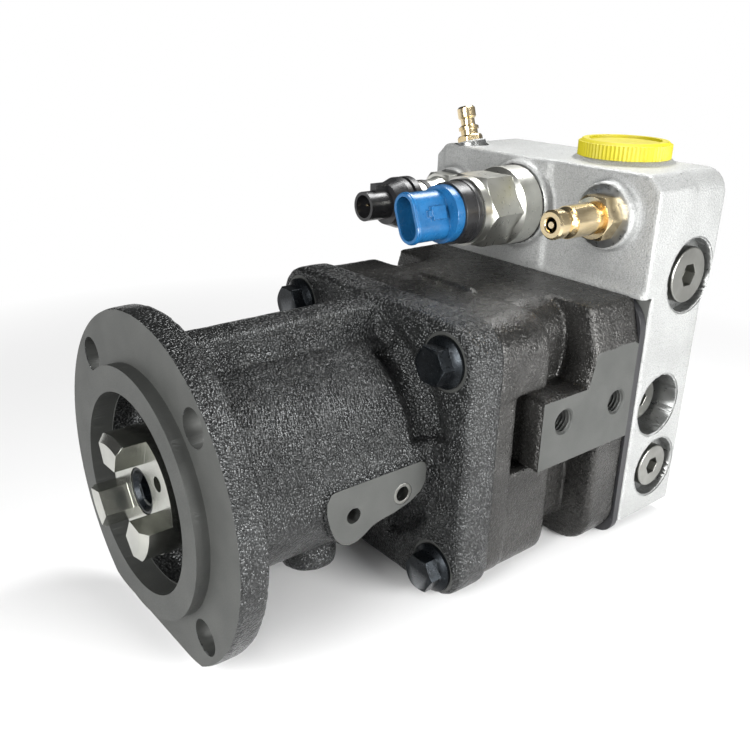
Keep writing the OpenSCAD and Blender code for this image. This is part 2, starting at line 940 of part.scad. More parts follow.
module top_test_place() {
    translate(top_test_base) rotate([-test_lean, 0, 0]) translate([0, 0, 18]) rotate([0, 90, 0]) children();
}

module front_test_point() {
    color("#c8a24f") front_test_place() test_nipple(35.5, 8, 19, front_test_r, 5.95, 12);
}

module front_test_pin() {
    color("#d8bd78") front_test_place() test_poppet(front_test_r);
}

module front_test_spring() {
    color("#8f9396") front_test_place() test_spring(front_test_r);
}

module top_test_point() {
    color("#c8a24f") top_test_place() test_nipple(18, 3, 12, top_test_r, 3.95, 10);
}

module top_test_pin() {
    color("#d8bd78") top_test_place() test_poppet(top_test_r);
}

module top_test_spring() {
    color("#8f9396") top_test_place() test_spring(top_test_r);
}

// ---------- port cap ----------

module port_cap() {
    ribs = 72;
    outer = 22;
    depth = 0.45;
    bottom = block_top + 2.05;
    color("#f2e60a") translate([port_xy[0], port_xy[1], bottom]) difference() {
        union() {
            linear_extrude(6.6) polygon([for (i = [0 : 2 * ribs - 1])
                (outer - (i % 2) * depth) * [cos(i * 180 / ribs), sin(i * 180 / ribs)]]);
            translate([0, 0, 6.5]) cylinder(h = 1.4, r1 = outer - 0.6, r2 = outer - 2);
            translate([0, 0, -15]) cylinder(h = 16, r = 14.9);
        }
        translate([0, 0, 6.6]) cylinder(h = 3, r = outer - 5);
        translate([0, 0, -16]) cylinder(h = 15, r = 12.5);
        translate([0, 0, -cut]) difference() {
            cylinder(h = cut + 1.9, r = 17.5);
            translate([0, 0, -cut]) cylinder(h = 2 * cut + 4, r = 14.9);
        }
    }
}

module cap_seal() {
    color("#161616") translate([port_xy[0], port_xy[1], block_top + 2.05 + 0.9]) rotate_extrude()
        translate([16.2, 0]) circle(0.85, $fn = 32);
}

// ---------- nodes ----------

drive_housing();
pump_housing();
cover_plate();
end_cover();
housing_bolts();
cover_screws();
housing_seal();
bracket_sleeve();
drain_plug();
drive_coupling();
coupling_screw();
drive_shaft();
shaft_seal();
seal_ring();
bearing_outer();
bearing_inner();
bearing_rollers();
bearing_cage();
bearing_circlip();
rear_bearing_ring();
rear_needles();
rear_cage();
cylinder_barrel();
barrel_spring();
pistons();
slippers();
retainer_plate();
retainer_ball();
valve_plate();
valve_plate_pin();
swash_plate();
cradle_bearings();
bias_plunger();
bias_spring();
control_piston();
control_sleeve();
sensor_body();
sensor_ring();
sensor_connector();
sensor_pins();
sensor_seal();
probe_body();
probe_ring();
probe_connector();
probe_pins();
front_test_point();
front_test_pin();
front_test_spring();
top_test_point();
top_test_pin();
top_test_spring();
port_cap();
cap_seal();
upper_plug();
lower_plug();
deep_plug();
plug_seals();
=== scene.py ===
"""Looks of a swash-plate axial piston pump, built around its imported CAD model.

Sizes are in millimetres until a mesh is made, and meshes are in metres, in the frame of the CAD.
X runs along the shaft from the drive end to the end cover, Z is up and -Y is the near side.
"""

import json
import math

import bmesh
import bpy
from mathutils import Matrix, Vector


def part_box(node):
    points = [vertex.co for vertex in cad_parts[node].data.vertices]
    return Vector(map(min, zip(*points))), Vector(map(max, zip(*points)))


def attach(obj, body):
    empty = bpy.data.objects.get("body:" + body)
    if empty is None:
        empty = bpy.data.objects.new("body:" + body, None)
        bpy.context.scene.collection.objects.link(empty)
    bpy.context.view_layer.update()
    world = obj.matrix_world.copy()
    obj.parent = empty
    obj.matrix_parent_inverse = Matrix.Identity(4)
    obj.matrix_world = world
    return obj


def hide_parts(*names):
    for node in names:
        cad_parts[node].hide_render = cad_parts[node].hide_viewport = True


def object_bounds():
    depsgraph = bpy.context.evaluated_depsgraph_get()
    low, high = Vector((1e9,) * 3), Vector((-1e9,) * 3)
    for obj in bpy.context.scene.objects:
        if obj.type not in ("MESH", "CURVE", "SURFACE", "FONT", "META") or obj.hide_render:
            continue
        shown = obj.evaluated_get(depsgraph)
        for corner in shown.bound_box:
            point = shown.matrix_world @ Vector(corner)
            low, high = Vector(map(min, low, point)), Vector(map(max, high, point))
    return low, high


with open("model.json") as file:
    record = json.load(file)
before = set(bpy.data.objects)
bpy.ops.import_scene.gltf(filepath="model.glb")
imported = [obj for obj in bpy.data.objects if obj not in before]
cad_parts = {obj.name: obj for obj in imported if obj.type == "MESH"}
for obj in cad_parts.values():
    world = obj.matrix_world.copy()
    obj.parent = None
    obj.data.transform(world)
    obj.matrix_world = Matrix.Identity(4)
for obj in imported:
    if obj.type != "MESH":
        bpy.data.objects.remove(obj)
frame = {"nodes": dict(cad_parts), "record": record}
cad_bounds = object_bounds()
record = frame["record"]

MM = 0.001
FAR = 400.0  # reaches past the whole pump
AHEAD_X = -40.0  # in front of everything at the drive end


# ---------------------------------------------------------------- places from the frame


def box_mm(node):
    """Lowest and highest corner of a CAD node, in millimetres."""
    low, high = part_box(node)
    return low / MM, high / MM


def centre_mm(node):
    """Middle of a CAD node's box, in millimetres."""
    low, high = box_mm(node)
    return (low + high) / 2


def mount(name):
    return next(m for m in record["mounts"] if m["name"] == name)


def mount_place(name):
    return Vector(mount(name)["pos_m"]) / MM


JOINT_X = box_mm("drive_housing")[1].x
BOLT_SEAT_X = JOINT_X - 18.0  # front of the square flange
PUMP_END_X = box_mm("pump_housing")[1].x
PLATE_END = box_mm("cover_plate")[1]
BRACKET_Y = mount_place("bracket_face").y
PAD_Y = mount_place("side_pad").y
# Lowest X, highest X, lowest Z and highest Z of boxes around the milled pads on the near side
BRACKET_PAD = (50, 103.5, -32, 3)
SIDE_PAD = (140, PUMP_END_X, -14, 40)
DRAIN = centre_mm("drain_plug")
DRAIN_FACE_Z = box_mm("drain_plug")[0].z - 0.5  # the plug sits half a millimetre deep
COVER_LOW, COVER_HIGH = box_mm("end_cover")
PORT = centre_mm("port_cap")
PORT_FACE_Z = COVER_HIGH.z
SUCTION = mount_place("suction_port")
TOP_TEST_LEAN = math.radians(17)
TOP_TEST_Y = 54.0
# Front face of the boss under each part that screws in from the front, and the radius milled flat
BOSSES = {"sensor_body": (205.0, 22), "probe_body": (203.0, 15.5), "front_test_point": (204.0, 16)}
# Radius of the counterbores around the plugs, with a millimetre to spare
PLUG_BORES = {"upper_plug": 18.6, "lower_plug": 16.3, "deep_plug": 16.5}
# Minor radius, major radius and pitch of the tapped holes
M8 = (3.35, 4.0, 1.25)
M12 = (5.1, 6.0, 1.75)
FLOOR_Z = cad_bounds[0].z / MM
MIDDLE = (cad_bounds[0] + cad_bounds[1]) / 2 / MM


def pattern(node, head_r):
    """Centres of four identical fasteners, from the box around all four heads."""
    low, high = box_mm(node)
    return [(y, z) for y in (low.y + head_r, high.y - head_r) for z in (low.z + head_r, high.z - head_r)]


BOLTS = pattern("housing_bolts", 11.0)
SCREWS = pattern("cover_screws", 8.0)


def flange_holes():
    """Centres of the mounting holes on their pitch circle."""
    dims = mount("flange_holes")["dims"]
    for i in range(dims["count"]):
        angle = math.radians(45 + 360 * i / dims["count"])
        yield dims["pcd_mm"] / 2 * math.cos(angle), dims["pcd_mm"] / 2 * math.sin(angle)


def over_pad(pad, y0, y1):
    """Low and high corner of the box over a pad, between two values of Y."""
    x0, x1, z0, z1 = pad
    return (x0, y0, z0), (x1, y1, z1)


def over_drain(reach, z):
    """A corner of a box around the drain boss."""
    return DRAIN.x + reach, DRAIN.y + reach, z


def layer(x0, x1):
    """Low and high corner of a box across the whole pump, between two values of X."""
    return (x0, -FAR, -FAR), (x1, FAR, FAR)


# ---------------------------------------------------------------- materials


class Look:
    """A node material. The methods add nodes and return sockets; finish returns the material."""

    def __init__(self, name):
        self.material = bpy.data.materials.new(name)
        self.material.use_nodes = True
        self.nodes = self.material.node_tree.nodes
        self.links = self.material.node_tree.links
        self.shader = self.nodes["Principled BSDF"]
        self.where = self.nodes.new("ShaderNodeTexCoord").outputs["Object"]

    def put(self, socket, value):
        """Links a socket to another one, or sets its value."""
        if isinstance(value, bpy.types.NodeSocket):
            self.links.new(value, socket)
        elif isinstance(value, tuple) and len(value) == 3 and len(socket.default_value) == 4:
            socket.default_value = (*value, 1)
        else:
            socket.default_value = value

    def node(self, kind, inputs, output=0, **settings):
        """Adds a shader node with its inputs filled in and returns one of its outputs."""
        node = self.nodes.new("ShaderNode" + kind)
        for key, value in settings.items():
            setattr(node, key, value)
        for key, value in inputs.items():
            self.put(node.inputs[key], value)
        return node.outputs[output]

    def scaled(self, size, stretch):
        """Object coordinates in units of size millimetres, drawn out along the axes in stretch."""
        factors = [1 / (size * MM * s) for s in stretch]
        return self.node("VectorMath", {0: self.where, 1: Vector(factors)}, operation="MULTIPLY")

    def noise(self, size, detail, stretch=(1, 1, 1)):
        """Soft random blotches about size millimetres wide."""
        where = self.scaled(size, stretch)
        return self.node("TexNoise", {"Vector": where, "Scale": 1.0, "Detail": detail}, "Fac")

    def cells(self, size):
        """Distance to the nearest of many random points about size millimetres apart."""
        where = self.scaled(size, (1, 1, 1))
        return self.node("TexVoronoi", {"Vector": where, "Scale": 1.0}, "Distance")

    def rings(self, size):
        """Concentric turning marks around the shaft's axis, about size millimetres wide."""
        flat = self.node("VectorMath", {0: self.where, 1: Vector((0, 1, 1))}, operation="MULTIPLY")
        radius = self.node("VectorMath", {0: flat}, "Value", operation="LENGTH")
        where = self.node("Math", {0: radius, 1: 1 / (size * MM)}, operation="MULTIPLY")
        sockets = {"W": where, "Scale": 1.0, "Detail": 3.0}
        return self.node("TexNoise", sockets, "Fac", noise_dimensions="1D")

    def ramp(self, value, low, high, start=0.0, end=1.0):
        """Runs evenly from start to end while value goes from low to high."""
        sockets = {"Value": value, "From Min": low, "From Max": high, "To Min": start, "To Max": end}
        return self.node("MapRange", sockets)

    def mix(self, factor, first, second):
        return self.node("MixRGB", {"Fac": factor, "Color1": first, "Color2": second})

    def sum(self, first, share, second):
        """first plus share times second."""
        return self.node("Math", {0: second, 1: share, 2: first}, operation="MULTIPLY_ADD")

    def edges(self, low, high):
        """One on sharp outer edges of a dense mesh, nought elsewhere."""
        geometry = self.nodes.new("ShaderNodeNewGeometry")
        return self.ramp(geometry.outputs["Pointiness"], low, high)

    def bump(self, height, depth, strength=1.0):
        """Relief of a height between nought and one, depth millimetres deep."""
        sockets = {"Height": height, "Distance": depth * MM, "Strength": strength}
        return self.node("Bump", sockets)

    def finish(self, **inputs):
        """Fills in the main shader; a low line in a name stands for a space."""
        for key, value in inputs.items():
            self.put(self.shader.inputs[key.replace("_", " ")], value)
        return self.material


def cast_iron(name, grain, depth, dark, light, contrast=1.0):
    """As-cast iron: small round knobs with painted shade in the pits and painted highlights on the crests,
    and worn, brighter edges.
    """
    look = Look(name)
    blotch = look.ramp(look.noise(24, 4), 0.35, 0.68)
    knobs = look.ramp(look.cells(grain), 0.0, 0.8, 1.0, 0.0)
    sand = look.noise(grain * 1.5, 3)
    height = look.sum(knobs, 1.2, sand)
    colour = look.mix(blotch, dark, light)
    # painted shade: the pits between the knobs are darkened towards black, more so as contrast rises
    pits = look.ramp(height, 0.95, 1.15, 1 - 0.4 * contrast, 1)
    colour = look.mix(pits, (0, 0, 0), colour)
    # painted highlight: the crests of the knobs are brightened towards the worn colour, more so as contrast
    # rises
    crest_highlight = look.ramp(height, 1.15, 1.5, 0, 0.5 * contrast)
    # colour of worn iron at the edges, also used as the painted highlight on the crests
    worn = tuple(min(1.0, 2.6 * v) for v in light)
    colour = look.mix(crest_highlight, colour, worn)
    colour = look.mix(look.edges(0.54, 0.68), colour, worn)
    rough = look.ramp(look.noise(5, 2), 0.3, 0.7, 0.2, 0.34)
    return look.finish(Base_Color=colour, Metallic=0.6, Roughness=rough, Normal=look.bump(height, depth))


def machined_iron(name):
    """Milled or turned faces of a casting: fine even grain and a few dark pores."""
    look = Look(name)
    grain = look.noise(0.5, 3)
    marks = look.rings(0.35)
    cloud = look.ramp(look.noise(14, 3), 0.3, 0.7)
    colour = look.mix(cloud, (0.056, 0.058, 0.055), (0.073, 0.075, 0.071))
    pores = look.ramp(look.cells(3.2), 0.03, 0.07)
    colour = look.mix(pores, (0.04, 0.04, 0.04), colour)
    rough = look.ramp(grain, 0.3, 0.7, 0.5, 0.62)
    normal = look.bump(look.sum(grain, 0.3, marks), 0.03, 0.6)
    return look.finish(Base_Color=colour, Metallic=0.5, Roughness=rough, Normal=normal)


def blasted_aluminium(name):
    """Sand-blasted cast aluminium: pale, matte, with a fine sparkling grain."""
    look = Look(name)
    grain = look.noise(0.8, 3)
    cloud = look.ramp(look.noise(18, 3), 0.35, 0.65)
    colour = look.mix(cloud, (0.325, 0.33, 0.325), (0.37, 0.375, 0.37))
    sand = look.ramp(look.noise(0.55, 2), 0.36, 0.6, 0.5, 0.0)
    colour = look.mix(sand, colour, (0.17, 0.175, 0.17))
    pits = look.ramp(look.noise(1.7, 4), 0.62, 0.72)
    colour = look.mix(pits, colour, (0.22, 0.225, 0.22))
    colour = look.mix(look.edges(0.53, 0.62), colour, (0.55, 0.55, 0.54))
    return look.finish(Base_Color=colour, Metallic=0.5, Roughness=0.55, Normal=look.bump(grain, 0.4))


def machined_aluminium_painted_shade(name):
    """Bored and milled seats in the cover: fine marks, and a grey darker than the blasted skin, partly the
    machined metal's own tone and partly painted shade for the recesses.
    """
    look = Look(name)
    grain = look.noise(0.3, 3, (1, 8, 8))
    cloud = look.ramp(look.noise(9, 2), 0.35, 0.65)
    # painted shade: these greys are kept dark to stand for the shade inside the bored recesses
    colour = look.mix(cloud, (0.22, 0.225, 0.22), (0.30, 0.305, 0.30))
    rough = look.ramp(grain, 0.3, 0.7, 0.25, 0.4)
    normal = look.bump(grain, 0.02, 0.5)
    return look.finish(Base_Color=colour, Metallic=0.9, Roughness=rough, Normal=normal)


def steel(name, dark, light, rough, marks=(0.5, 6), depth=0.012):
    """Bare or plated metal; marks holds the width of its fine marks and how far they are drawn out."""
    look = Look(name)
    width, stretch = marks
    lines = look.noise(width, 3, (1, stretch, stretch))
    cloud = look.ramp(look.noise(11, 2), 0.3, 0.7)
    specks = look.ramp(look.noise(1.1, 4), 0.68, 0.8, 0, 0.25)
    colour = look.mix(cloud, dark, light)
    colour = look.mix(specks, colour, tuple(0.6 * v for v in dark))
    spread = look.ramp(lines, 0.3, 0.7, rough * 0.9, rough * 1.12)
    normal = look.bump(lines, depth, 0.7)
    return look.finish(Base_Color=colour, Metallic=1.0, Roughness=spread, Normal=normal)


def black_oxide(name):
    """Oiled black oxide on hardened screws: bluish sheen, bright at worn edges."""
    look = Look(name)
    cloud = look.ramp(look.noise(4, 3), 0.35, 0.65)
    colour = look.mix(cloud, (0.006, 0.0075, 0.009), (0.013, 0.016, 0.019))
    wear = look.ramp(look.noise(1.1, 4), 0.62, 0.78, 0, 0.6)
    colour = look.mix(wear, colour, (0.09, 0.10, 0.11))
    colour = look.mix(look.edges(0.54, 0.66), colour, (0.24, 0.25, 0.26))
    rough = look.ramp(look.noise(0.8, 2), 0.3, 0.7, 0.24, 0.4)
    fine = look.bump(look.noise(0.45, 2), 0.02, 0.7)
    return look.finish(Base_Color=colour, Metallic=0.8, Roughness=rough, Normal=fine)


def plastic(name, dark, light, rough):
    """Moulded plastic with a faint spark-eroded grain and handling marks."""
    look = Look(name)
    colour = look.mix(look.ramp(look.noise(8, 3), 0.3, 0.7), dark, light)
    dust = look.ramp(look.noise(1.5, 5), 0.66, 0.8, 0, 0.35)
    colour = look.mix(dust, colour, tuple(min(1.0, 1.6 * v + 0.02) for v in light))
    spread = look.ramp(look.noise(3, 3), 0.3, 0.7, rough * 0.85, rough * 1.2)
    normal = look.bump(look.noise(0.28, 2), 0.02, 0.8)
    return look.finish(Base_Color=colour, Roughness=spread, Normal=normal)


def rubber(name, colour):
    """Matte moulded rubber, a little uneven in tone."""
    look = Look(name)
    mixed = look.mix(look.noise(3, 3), colour, tuple(1.7 * v for v in colour))
    normal = look.bump(look.noise(0.4, 2), 0.02, 0.6)
    return look.finish(Base_Color=mixed, Roughness=0.55, Normal=normal)


def satin_black(name):
    """Satin black on the flat cover plate."""
    look = Look(name)
    worn = look.ramp(look.noise(1.6, 4), 0.64, 0.76, 0, 0.7)
    colour = look.mix(worn, (0.018, 0.018, 0.020), (0.09, 0.09, 0.09))
    normal = look.bump(look.noise(0.8, 3), 0.05, 0.6)
    return look.finish(Base_Color=colour, Roughness=0.42, Metallic=0.2, Normal=normal)


DRIVE_SKIN = cast_iron("drive_skin", 1.05, 0.5, (0.027, 0.028, 0.028), (0.052, 0.054, 0.054))
PUMP_SKIN = cast_iron("pump_skin", 0.9, 0.2, (0.027, 0.0265, 0.025), (0.051, 0.050, 0.0475), 0.4)
MACHINED = machined_iron("machined_iron")
COVER_SKIN = blasted_aluminium("cover_skin")
# the machined faces of the cover carry painted shade in their dark grey
COVER_CUT = machined_aluminium_painted_shade("machined_aluminium_painted_shade")

SLOTS = {
    "cast_housing": PUMP_SKIN,
    "cover_aluminium": COVER_SKIN,
    "black_plate": satin_black("black_plate"),
    "black_oxide": black_oxide("black_oxide"),
    "ground_steel": steel("ground_steel", (0.46, 0.465, 0.43), (0.54, 0.545, 0.50), 0.24, depth=0.004),
    "dark_steel": steel("dark_steel", (0.20, 0.205, 0.21), (0.31, 0.315, 0.32), 0.34),
    "bright_steel": steel("bright_steel", (0.58, 0.59, 0.60), (0.72, 0.73, 0.74), 0.16),
    "zinc_plate": steel("zinc_plate", (0.62, 0.62, 0.575), (0.72, 0.72, 0.67), 0.3, (0.8, 4), 0.002),
    "bronze": steel("bronze", (0.36, 0.23, 0.10), (0.52, 0.35, 0.17), 0.3),
    "brass": steel("brass", (0.76, 0.60, 0.34), (0.84, 0.70, 0.46), 0.22, (0.6, 5), 0.002),
    "seal_rubber": rubber("seal_rubber", (0.012, 0.012, 0.012)),
    "brown_rubber": rubber("brown_rubber", (0.10, 0.035, 0.016)),
    "blue_plastic": plastic("blue_plastic", (0.008, 0.072, 0.185), (0.010, 0.098, 0.245), 0.28),
    "black_plastic": plastic("black_plastic", (0.010, 0.010, 0.011), (0.02, 0.02, 0.021), 0.3),
    "yellow_plastic": plastic("yellow_plastic", (0.36, 0.31, 0.001), (0.41, 0.355, 0.002), 0.55),
}
SLOT_OF = {row["node"]: row["material_slot"] for row in record["subparts"]}
# The big plugs and the sleeve are phosphated, so darker than the other zinc-plated parts
PHOSPHATED = steel("phosphated", (0.20, 0.20, 0.185), (0.29, 0.29, 0.27), 0.34, (1.0, 2))
PHOSPHATED_NODES = ("upper_plug", "lower_plug", "deep_plug", "bracket_sleeve")

for node, owner in frame["nodes"].items():
    owner.data.materials.clear()
    owner.data.materials.append(PHOSPHATED if node in PHOSPHATED_NODES else SLOTS[SLOT_OF[node]])


# ---------------------------------------------------------------- mesh tools


def link(name, mesh):
    """A new object in the scene that holds the mesh."""
    piece = bpy.data.objects.new(name, mesh)
    bpy.context.scene.collection.objects.link(piece)
    return piece


def solid(name, rings, material, place=Matrix.Identity(4)):
    """A solid skinned over rings of points, with its ends capped."""
    mesh = bpy.data.meshes.new(name)
    shape = bmesh.new()
    rows = [[shape.verts.new(place @ Vector(p) * MM) for p in ring] for ring in rings]
    shape.faces.new(rows[0][::-1])
    shape.faces.new(rows[-1])
    for here, there in zip(rows, rows[1:]):
        for i in range(len(here)):
            j = (i + 1) % len(here)
            shape.faces.new((here[i], here[j], there[j], there[i]))
    bmesh.ops.recalc_face_normals(shape, faces=shape.faces)
    shape.to_mesh(mesh)
    shape.free()
    mesh.materials.append(material)
    return link(name, mesh)


def circle(x, r, steps=96):
    """Ring of points around the X axis; r is the radius, or a function of the angle that gives it."""
    points = []
    for i in range(steps):
        angle = 2 * math.pi * i / steps
        radius = r(angle) if callable(r) else r
        points.append((x, radius * math.cos(angle), radius * math.sin(angle)))
    return points


def slab(name, low, high, material=MACHINED):
    """A box between two corners."""
    corners = [(low[1], low[2]), (high[1], low[2]), (high[1], high[2]), (low[1], high[2])]
    rings = [[(x, y, z) for y, z in corners] for x in (low[0], high[0])]
    return solid(name, rings, material)


def at(x, y, z):
    """Moves a shape without turning it."""
    return Matrix.Translation((x, y, z))


def near_side(x, y, z):
    """Turns a shape drawn along +X to point out of the near side."""
    return at(x, y, z) @ Matrix.Rotation(math.radians(-90), 4, "Z")


def far_side(x, y, z):
    """Turns a shape drawn along +X to point out of the far side."""
    return at(x, y, z) @ Matrix.Rotation(math.radians(90), 4, "Z")


def upright(x, y):
    """Turns a shape drawn along +X to point up."""
    return at(x, y, 0) @ Matrix.Rotation(math.radians(-90), 4, "Y")


def top_test():
    """Turns a shape drawn along +X to point along the leaning top test point, from its seat."""
    lean = Matrix.Rotation(-TOP_TEST_LEAN, 4, "X")
    return at(centre_mm("top_test_pin").x, TOP_TEST_Y, PORT_FACE_Z - 0.5) @ lean @ upright(0, 0)


def rod(x0, x1, r, place=Matrix.Identity(4)):
    """A round cutter between two values of x."""
    return solid("rod", [circle(x0, r), circle(x1, r)], MACHINED, place)


def ridge(x, size):
    """Radius of a helical V thread at x, as a function of the angle."""
    minor, major, pitch = size

    def radius(angle):
        phase = (x / pitch + angle / (2 * math.pi)) % 1.0
        return minor + (major - minor) * (1 - abs(2 * phase - 1))

    return radius


def thread(depth, size, place):
    """Cutter for a tapped hole whose mouth is at x = 0."""
    pitch = size[2]
    top = 0.5
    count = round((top + depth) / pitch * 6)
    places = [-depth + (top + depth) * i / count for i in range(count + 1)]
    return solid("thread", [circle(x, ridge(x, size), 48) for x in places], MACHINED, place)


def chamfer(r, size, place):
    """Cutter for the chamfer of a hole of radius r whose mouth is at x = 0."""
    outline = [(-size, r - 0.02), (0, r + size - 0.02), (2, r + size + 1.98)]
    return solid("chamfer", [circle(x, radius) for x, radius in outline], MACHINED, place)


def bake(piece):
    """Applies all modifiers of a piece to its mesh."""
    graph = bpy.context.evaluated_depsgraph_get()
    graph.update()
    mesh = bpy.data.meshes.new_from_object(
        piece.evaluated_get(graph), preserve_all_data_layers=True, depsgraph=graph
    )
    old = piece.data
    piece.modifiers.clear()
    piece.data = mesh
    bpy.data.meshes.remove(old)


def combine(piece, other, operation):
    """Changes piece by a boolean operation with other, then throws other away."""
    change = piece.modifiers.new("combine", "BOOLEAN")
    change.solver = "MANIFOLD"
    change.material_mode = "TRANSFER"
    change.operation = operation
    change.object = other
    bake(piece)
    bpy.data.objects.remove(other)


def cad_copy(node, name, material):
    """A welded copy of a CAD node's mesh, without its shading normals."""
    mesh = frame["nodes"][node].data.copy()
    mesh.name = name
    shape = bmesh.new()
    shape.from_mesh(mesh)
    bmesh.ops.remove_doubles(shape, verts=shape.verts, dist=0.0005 * MM)
    bmesh.ops.dissolve_degenerate(shape, edges=shape.edges, dist=0.0001 * MM)
    shape.to_mesh(mesh)
    shape.free()
    if "custom_normal" in mesh.attributes:
        mesh.attributes.remove(mesh.attributes["custom_normal"])
    mesh.materials.clear()
    mesh.materials.append(material)
    return link(name, mesh)


def shade(piece, angle):
    """Smooth shading, with edges sharper than angle degrees kept crisp."""
    piece.data.shade_smooth()
    piece.data.set_sharp_from_angle(angle=math.radians(angle))


def hold(piece, node):
    """The piece stands for a CAD node and rides on that node's body."""
    body = next(b for b, nodes in record["behaviour"]["bodies"].items() if node in nodes)
    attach(piece, body)
    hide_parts(node)
    return piece


# ---------------------------------------------------------------- castings

CAST_SHARP = 38  # degrees between faces from which an edge of a casting stays crisp


def lump_texture(size):
    """Procedural height for the broad unevenness of a cast skin."""
    texture = bpy.data.textures.new("lumps", "CLOUDS")
    texture.noise_scale = size * MM
    texture.noise_depth = 1
    return texture


def displace(piece, height, texture=None):
    """Moves the skin outwards by a height, or up and down by it where a texture is given."""
    change = piece.modifiers.new("displace", "DISPLACE")
    change.strength = height * MM
    change.mid_level = 0.5 if texture else 0.0
    if texture:
        change.texture = texture
        change.texture_coords = "LOCAL"


def soften(piece, times):
    """Rounds edges and fills corners by evening out the mesh a number of times."""
    change = piece.modifiers.new("soften", "SMOOTH")
    change.factor = 0.5
    change.iterations = times


def cast_blank(node, name, skin, voxel, stock, smoothing, lumps):
    """A casting before machining: the CAD shape with stock, round edges, fillets and an uneven skin."""
    piece = cad_copy(node, name, skin)
    grid = piece.modifiers.new("grid", "REMESH")
    grid.mode = "VOXEL"
    grid.voxel_size = voxel * MM
    displace(piece, stock)
    soften(piece, smoothing)
    for size, height in lumps:
        displace(piece, height, lump_texture(size))
    bake(piece)
    return piece


def machine(piece, node, zones, cut_material):
    """Cuts the casting back to the exact CAD faces inside the zones, which reach a little past them."""
    tool = zones[0]
    for zone in zones[1:]:
        combine(tool, zone, "UNION")
    combine(tool, cad_copy(node, "exact", cut_material), "DIFFERENCE")
    combine(piece, tool, "DIFFERENCE")


def exact_slice(piece, node, low, high):
    """Brings back the crisp CAD outline of a casting inside a box."""
    tool = slab("slice", low, high, piece.data.materials[0])
    combine(tool, cad_copy(node, "exact", piece.data.materials[0]), "INTERSECT")
    combine(piece, tool, "UNION")


def machined_face(piece, low, high):
    """Gives faces that lie wholly in a box the machined material."""
    slot = list(piece.data.materials).index(MACHINED)
    for face in piece.data.polygons:
        points = [piece.data.vertices[v].co / MM for v in face.vertices]
        if all(low[k] <= p[k] <= high[k] for p in points for k in range(3)):
            face.material_index = slot


def drive_zones():
    """Machined regions of the drive housing, one solid each."""
    sleeve = centre_mm("bracket_sleeve")
    hole = mount_place("bracket_hole")
    tapped = near_side(hole.x, BRACKET_Y, hole.z)
    yield slab("front", *layer(AHEAD_X, 0))
    yield rod(-20, 4, 41)  # mouth
    yield rod(24, 64, 34)  # bearing seat
    yield rod(60, JOINT_X + 1, 36)  # room for the swash plate
    yield slab("pocket", (BOLT_SEAT_X + 7, -37, -30), (JOINT_X + 1, 37, 30))
    yield slab("back", *layer(JOINT_X, JOINT_X + 20))
    yield slab("seal", (JOINT_X - 3, -56, -56), (JOINT_X + 1, 56, 56))
    yield slab("pad", *over_pad(BRACKET_PAD, BRACKET_Y - 8, BRACKET_Y))
    yield rod(-13, 1, 5.2, near_side(sleeve.x, BRACKET_Y, sleeve.z))
    yield slab("drain", over_drain(-14, -FAR), over_drain(14, DRAIN_FACE_Z))
    yield rod(DRAIN_FACE_Z - 1, DRAIN_FACE_Z + 9, 7.2, upright(DRAIN.x, DRAIN.y))
    yield thread(12, M8, tapped)
    yield chamfer(3.4, 0.8, tapped)
    for y, z in flange_holes():
        yield rod(-1, 14, 7.9, at(0, y, z))
    for y, z in BOLTS:
        yield rod(90, BOLT_SEAT_X, 12.6, at(0, y, z))
        yield rod(BOLT_SEAT_X - 1, JOINT_X + 1, 6, at(0, y, z))


def drive_housing():
    """The drive end's casting, with a turned mounting flange and a milled pad for a bracket."""
    piece = cast_blank("drive_housing", "drive_casting", DRIVE_SKIN, 1.1, 0.6, 17, [(11, 0.5), (3.4, 0.22)])
    exact_slice(piece, "drive_housing", *over_pad(BRACKET_PAD, BRACKET_Y - 0.02, BRACKET_Y + 3))
    exact_slice(piece, "drive_housing", *layer(AHEAD_X, 1.5))
    machine(piece, "drive_housing", list(drive_zones()), MACHINED)
    machined_face(piece, *over_pad(BRACKET_PAD, BRACKET_Y - 0.05, BRACKET_Y + 0.02))
    machined_face(piece, *layer(AHEAD_X, 0.05))
    shade(piece, CAST_SHARP)
    return hold(piece, "drive_housing")


def pump_zones():
    """Machined regions of the pump housing, one solid each."""
    yield slab("front", *layer(60, JOINT_X))
    yield slab("back", *layer(PUMP_END_X, PUMP_END_X + 20))
    yield rod(JOINT_X - 1, PUMP_END_X + 1, 48)  # bore around the barrel
    yield slab("slots", (JOINT_X - 1, -11, -56.5), (PUMP_END_X + 1, 11, 54.5))
    yield slab("pad", *over_pad(SIDE_PAD, -FAR, PAD_Y))
    for y, z in BOLTS:
        yield rod(JOINT_X - 1, 151, 5.6, at(0, y, z))
    for y, z in SCREWS:
        yield rod(193, PUMP_END_X + 1, 5.6, at(0, y, z))


def tap_side_pad(piece):
    """Cuts the two threaded holes in the pad on the near side."""
    spacing = mount("side_pad_holes")["dims"]["spacing_x_mm"]
    middle = mount_place("side_pad_holes")
    for side in (-0.5, 0.5):
        place = near_side(middle.x + side * spacing, PAD_Y, middle.z)
        combine(piece, thread(17.5, M12, place), "DIFFERENCE")
        combine(piece, chamfer(5.6, 0.7, place), "DIFFERENCE")


def pump_housing():
    """The middle casting, with a milled pad and two threaded holes on the near side."""
    piece = cast_blank("pump_housing", "pump_casting", PUMP_SKIN, 0.9, 0.5, 14, [(14, 0.5), (2.6, 0.2)])
    exact_slice(piece, "pump_housing", *over_pad(SIDE_PAD, PAD_Y - 0.02, PAD_Y + 2.5))
    machine(piece, "pump_housing", list(pump_zones()), MACHINED)
    machined_face(piece, *over_pad(SIDE_PAD, PAD_Y - 0.05, PAD_Y + 0.02))
    tap_side_pad(piece)
    shade(piece, CAST_SHARP)
    return hold(piece, "pump_housing")


